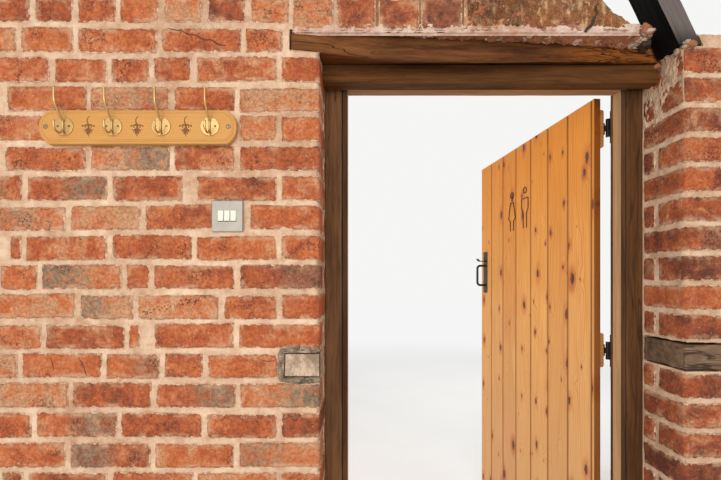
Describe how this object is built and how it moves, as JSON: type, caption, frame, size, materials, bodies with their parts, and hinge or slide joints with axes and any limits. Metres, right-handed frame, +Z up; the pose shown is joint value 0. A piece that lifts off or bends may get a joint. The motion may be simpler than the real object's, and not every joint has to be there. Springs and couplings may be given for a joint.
{
  "type": "brick wall bay with a timber-framed doorway and ledged boarded door",
  "caption": "Old brick wall bay with an oak-framed doorway, a hinged boarded door with a thumb latch, a coat rack and a rocker switch plate.",
  "frame": {"origin": "floor level, under the middle of the door's threshold", "axes": "+Z up, +Y through the doorway from the coat rack's side to the side that the door opens to, +X to the right seen from the coat rack's side"},
  "size_m": [2.171, 1.2449, 2.3324],
  "materials": {
    "brick": "weathered red brick with wide buff mortar",
    "pad_timber": "weathered grey-brown",
    "rough_oak": "rough, weathered",
    "stained_oak": "dark stained, worn",
    "stop_wood": "dark stained with paler worn faces",
    "black_timber": "black painted, semi-gloss",
    "door_pine": "satin lacquered knotty pine",
    "black_iron": "black wrought, satin",
    "black_wire": "satin black",
    "rack_pine": "satin lacquered pine",
    "hook_brass": "polished",
    "switch_steel": "satin",
    "galvanised": "galvanised",
    "white_plastic": "gloss white"
  },
  "bodies": {
    "wall": {"coat_hook_1": "hook_brass", "coat_hook_2": "hook_brass", "coat_hook_3": "hook_brass", "coat_hook_4": "hook_brass", "coat_rack_board": "rack_pine", "door_threshold": "stained_oak", "frame_head": "stained_oak", "frame_post_left": "stained_oak", "frame_post_right": "stained_oak", "hinge_plate_bottom": "black_iron", "hinge_plate_middle": "black_iron", "hinge_plate_top": "black_iron", "latch_keep": "black_iron", "lintel_lower": "stained_oak", "lintel_upper": "rough_oak", "pad_block_left": "pad_timber", "pad_block_right": "pad_timber", "raking_strut": "black_timber", "stop_head": "stop_wood", "stop_left": "stop_wood", "stop_right": "stop_wood", "switch_back_box": "galvanised", "switch_plate": "switch_steel", "wall_left": "brick", "wall_over_door": "brick", "wall_right": "brick"},
    "door": {"door_boards": "door_pine", "latch_handle": "black_iron", "latch_backing_block": "door_pine", "latch_staple": "black_iron", "latch_pivot": "black_iron", "sign_woman": "black_wire", "sign_man": "black_wire", "ledge_top": "door_pine", "ledge_middle": "door_pine", "ledge_bottom": "door_pine", "hinge_strap_top": "black_iron", "hinge_strap_middle": "black_iron", "hinge_strap_bottom": "black_iron"},
    "latch_bar": {"latch_bar": "black_iron"},
    "thumb_piece": {"thumb_piece": "black_iron"},
    "rocker_left": {"switch_rocker_1": "white_plastic"},
    "rocker_middle": {"switch_rocker_2": "white_plastic"},
    "rocker_right": {"switch_rocker_3": "white_plastic"}
  },
  "joints": [
    {"name": "door_swing", "type": "hinge", "parent": "wall", "child": "door", "pos_m": [0.4545, 0.0505, 0.957], "axis": [0, 0, 1], "range_deg": [-10, 82.65]},
    {"name": "thumb_press", "type": "hinge", "parent": "door", "child": "thumb_piece", "pos_m": [0.29559, 0.89158, 1.304], "axis": [0.1279, -0.9918, 0], "range_deg": [0, 10]},
    {"name": "bar_lift", "type": "hinge", "parent": "door", "child": "latch_bar", "pos_m": [0.3614, 0.74883, 1.3173], "axis": [0.9918, 0.1279, 0], "range_deg": [0, 3.6]},
    {"name": "rocker_left_tip", "type": "hinge", "parent": "wall", "child": "rocker_left", "pos_m": [-0.7866, -0.208, 1.378], "axis": [1, 0, 0], "range_deg": [0, 10]},
    {"name": "rocker_middle_tip", "type": "hinge", "parent": "wall", "child": "rocker_middle", "pos_m": [-0.769, -0.208, 1.378], "axis": [1, 0, 0], "range_deg": [0, 10]},
    {"name": "rocker_right_tip", "type": "hinge", "parent": "wall", "child": "rocker_right", "pos_m": [-0.7514, -0.208, 1.378], "axis": [1, 0, 0], "range_deg": [0, 10]}
  ],
  "couplings": [
    {"joint": "bar_lift", "follows": "thumb_press", "ratio": 0.36}
  ]
}
